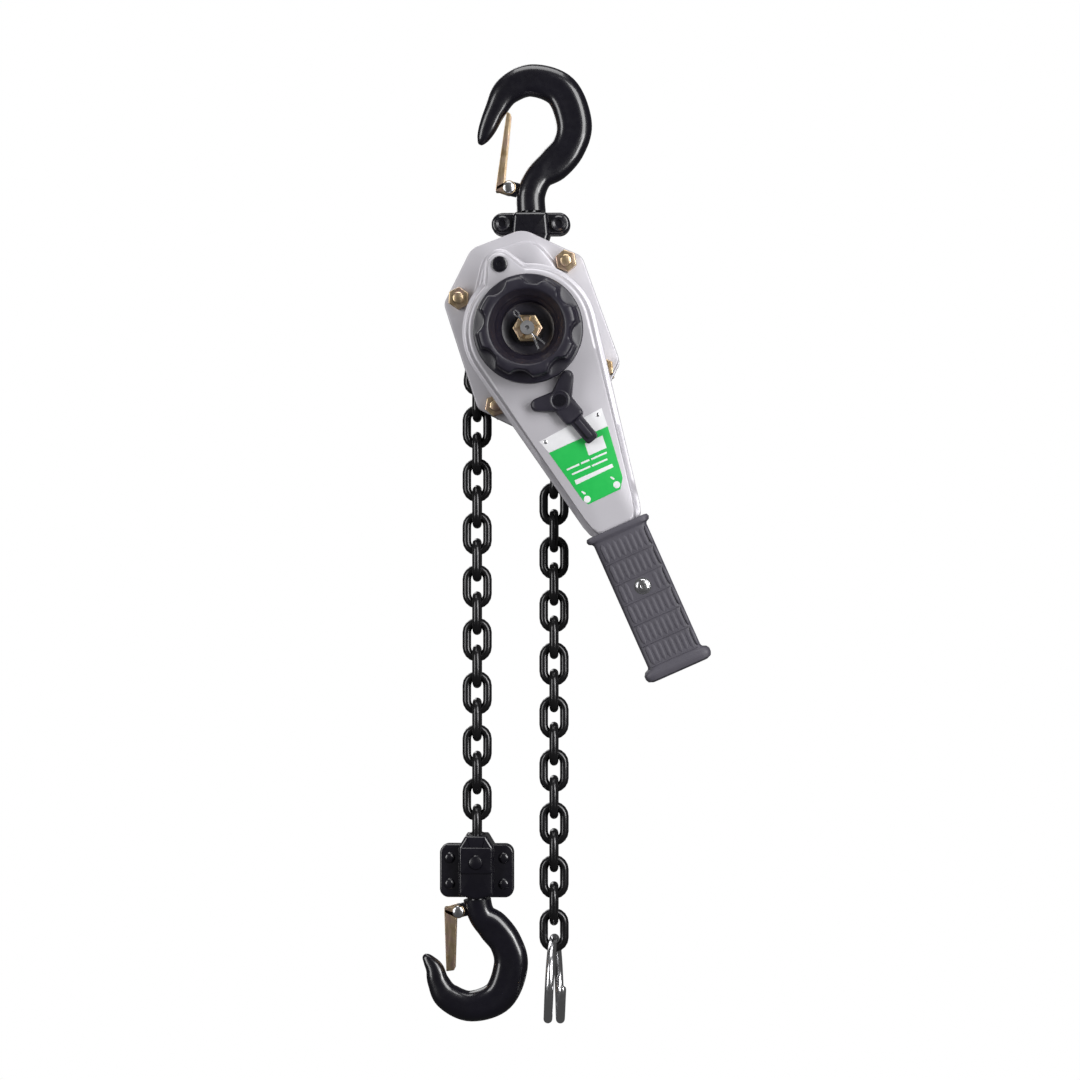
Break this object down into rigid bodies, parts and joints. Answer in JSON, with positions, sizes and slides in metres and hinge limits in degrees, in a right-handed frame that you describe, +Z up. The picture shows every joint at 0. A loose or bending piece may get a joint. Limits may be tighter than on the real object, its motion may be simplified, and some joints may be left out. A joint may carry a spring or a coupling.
{
  "type": "ratchet lever chain hoist",
  "caption": "Hand-powered ratchet lever hoist: swivelling top hook, geared housing with handwheel and gripped lever, load chain with bottom hook, free chain with end ring.",
  "frame": {"origin": "load seat at the inside top of the top hook bowl, on the plane of the chain", "axes": "+X to the right as the handwheel is faced, +Z up along the hanging line, -Y out of the handwheel towards the user"},
  "size_m": [0.1945, 0.126, 0.6482],
  "materials": {
    "black_paint": "gloss black enamel over forged steel",
    "chain_black": "black oxide and oil on alloy steel chain",
    "grey_paint": "silver-grey powder coat",
    "zinc": "yellow passivated zinc plate",
    "steel": "machined steel",
    "bright": "bright nickel plate",
    "plastic": "moulded black nylon",
    "rubber": "moulded black rubber",
    "label_green": "printed film",
    "friction": "bonded friction lining"
  },
  "bodies": {
    "top_hook": {"top_hook": "black_paint"},
    "top_latch": {"top_latch": "zinc", "top_latch_rivet": "bright"},
    "top_yoke": {"top_yoke_front": "black_paint", "top_yoke_back": "black_paint", "top_yoke_bolts": "black_paint"},
    "housing": {"top_yoke_pin": "steel", "front_side_plate": "grey_paint", "back_side_plate": "grey_paint", "stay_bolts": "zinc", "stay_nuts": "zinc", "stay_spacers": "steel", "brake_cover": "grey_paint", "gear_cover": "grey_paint", "ratchet_disc": "steel", "brake_pawl_pins": "steel", "guide_roller_pin": "steel", "chain_on_sheave": "chain_black"},
    "brake_pawl_left": {"brake_pawl_left": "steel"},
    "brake_pawl_right": {"brake_pawl_right": "steel"},
    "guide_roller": {"guide_roller": "steel"},
    "sheave": {"load_sheave": "steel", "load_gear": "steel"},
    "gear_left": {"intermediate_gear_left": "steel"},
    "gear_right": {"intermediate_gear_right": "steel"},
    "drive": {"drive_shaft": "steel", "brake_hub": "steel", "friction_discs": "friction", "lever_gear": "steel", "handwheel": "plastic", "wheel_washer": "steel", "castle_nut": "zinc", "cotter_pin": "bright"},
    "lever": {"lever_back_shell": "grey_paint", "lever_front_shell": "grey_paint", "lever_plug": "black_paint", "lever_label": "label_green", "grip": "rubber", "grip_screw": "bright"},
    "selector": {"selector_knob": "plastic", "selector_shaft": "steel", "lever_pawl": "steel"},
    "load_run_upper": {"load_chain_upper": "chain_black"},
    "load_run_lower": {"load_chain_lower": "chain_black"},
    "bottom_block": {"block_front": "black_paint", "block_back": "black_paint", "block_rivets": "black_paint", "chain_pin": "black_paint"},
    "bottom_hook": {"bottom_hook": "black_paint"},
    "bottom_latch": {"bottom_latch": "zinc", "bottom_latch_rivet": "bright"},
    "tail_run_upper": {"tail_chain_upper": "chain_black"},
    "tail_run_lower": {"tail_chain_lower": "chain_black"},
    "end_ring": {"end_ring": "bright"}
  },
  "joints": [
    {"name": "hook_swivel", "type": "hinge", "parent": "top_hook", "child": "top_yoke", "pos_m": [0, 0, -0.0865], "axis": [0, 0, 1], "continuous": true},
    {"name": "top_latch_hinge", "type": "hinge", "parent": "top_hook", "child": "top_latch", "pos_m": [-0.0147, 0, -0.062], "axis": [0, 1, 0], "range_deg": [0, 32], "stiffness_Nm_per_rad": 0.05, "springref_deg": -17.19},
    {"name": "housing_tilt", "type": "hinge", "parent": "top_yoke", "child": "housing", "pos_m": [0.0015, 0, -0.103], "axis": [0, 1, 0], "range_deg": [-35, 15]},
    {"name": "brake_pawl_left_hinge", "type": "hinge", "parent": "housing", "child": "brake_pawl_left", "pos_m": [-0.03077, 0, -0.17294], "axis": [0, 1, 0], "range_deg": [-10, 0], "stiffness_Nm_per_rad": 0.02, "springref_deg": 17.19},
    {"name": "brake_pawl_right_hinge", "type": "hinge", "parent": "housing", "child": "brake_pawl_right", "pos_m": [0.03277, 0, -0.15106], "axis": [0, 1, 0], "range_deg": [-10, 0], "stiffness_Nm_per_rad": 0.02, "springref_deg": 17.19},
    {"name": "guide_roller_spin", "type": "hinge", "parent": "housing", "child": "guide_roller", "pos_m": [-0.0196, 0, -0.188], "axis": [0, 1, 0], "continuous": true},
    {"name": "sheave_turn", "type": "hinge", "parent": "housing", "child": "sheave", "pos_m": [0.001, 0, -0.162], "axis": [0, 1, 0], "continuous": true},
    {"name": "gear_left_turn", "type": "hinge", "parent": "housing", "child": "gear_left", "pos_m": [-0.02311, 0, -0.1703], "axis": [0, 1, 0], "continuous": true},
    {"name": "gear_right_turn", "type": "hinge", "parent": "housing", "child": "gear_right", "pos_m": [0.02511, 0, -0.1537], "axis": [0, 1, 0], "continuous": true},
    {"name": "drive_turn", "type": "hinge", "parent": "housing", "child": "drive", "pos_m": [0.001, 0, -0.162], "axis": [0, 1, 0], "continuous": true},
    {"name": "lever_swing", "type": "hinge", "parent": "housing", "child": "lever", "pos_m": [0.001, 0, -0.162], "axis": [0, 1, 0], "continuous": true},
    {"name": "selector_turn", "type": "hinge", "parent": "lever", "child": "selector", "pos_m": [0.02174, 0, -0.20859], "axis": [0, 1, 0], "range_deg": [-35, 35]},
    {"name": "load_run_swing", "type": "hinge", "parent": "housing", "child": "load_run_upper", "pos_m": [-0.0365, 0, -0.21752], "axis": [0, 1, 0], "range_deg": [0, 25]},
    {"name": "load_run_sway", "type": "hinge", "parent": "load_run_upper", "child": "load_run_lower", "pos_m": [-0.0365, 0, -0.34352], "axis": [1, 0, 0], "range_deg": [-12, 12]},
    {"name": "block_swing", "type": "hinge", "parent": "load_run_lower", "child": "bottom_block", "pos_m": [-0.0365, 0, -0.51682], "axis": [0, 1, 0], "range_deg": [-2, 2]},
    {"name": "bottom_hook_swivel", "type": "hinge", "parent": "bottom_block", "child": "bottom_hook", "pos_m": [-0.0365, 0, -0.536], "axis": [0, 0, 1], "continuous": true},
    {"name": "bottom_latch_hinge", "type": "hinge", "parent": "bottom_hook", "child": "bottom_latch", "pos_m": [-0.04904, 0, -0.55115], "axis": [0, 1, 0], "range_deg": [-30, 0], "stiffness_Nm_per_rad": 0.05, "springref_deg": 17.19},
    {"name": "tail_run_swing", "type": "hinge", "parent": "housing", "child": "tail_run_upper", "pos_m": [0.01851, 0, -0.2339], "axis": [0, 1, 0], "range_deg": [-25, 0]},
    {"name": "tail_run_sway", "type": "hinge", "parent": "tail_run_upper", "child": "tail_run_lower", "pos_m": [0.0156, 0, -0.43178], "axis": [1, 0, 0], "range_deg": [-12, 12]},
    {"name": "end_ring_swing", "type": "hinge", "parent": "tail_run_lower", "child": "end_ring", "pos_m": [0.0156, 0, -0.57578], "axis": [1, 0, 0], "range_deg": [-20, 20]}
  ],
  "couplings": [
    {"joint": "gear_left_turn", "follows": "sheave_turn", "ratio": -2.4},
    {"joint": "gear_right_turn", "follows": "sheave_turn", "ratio": -2.4},
    {"joint": "drive_turn", "follows": "sheave_turn", "ratio": 5.76}
  ]
}
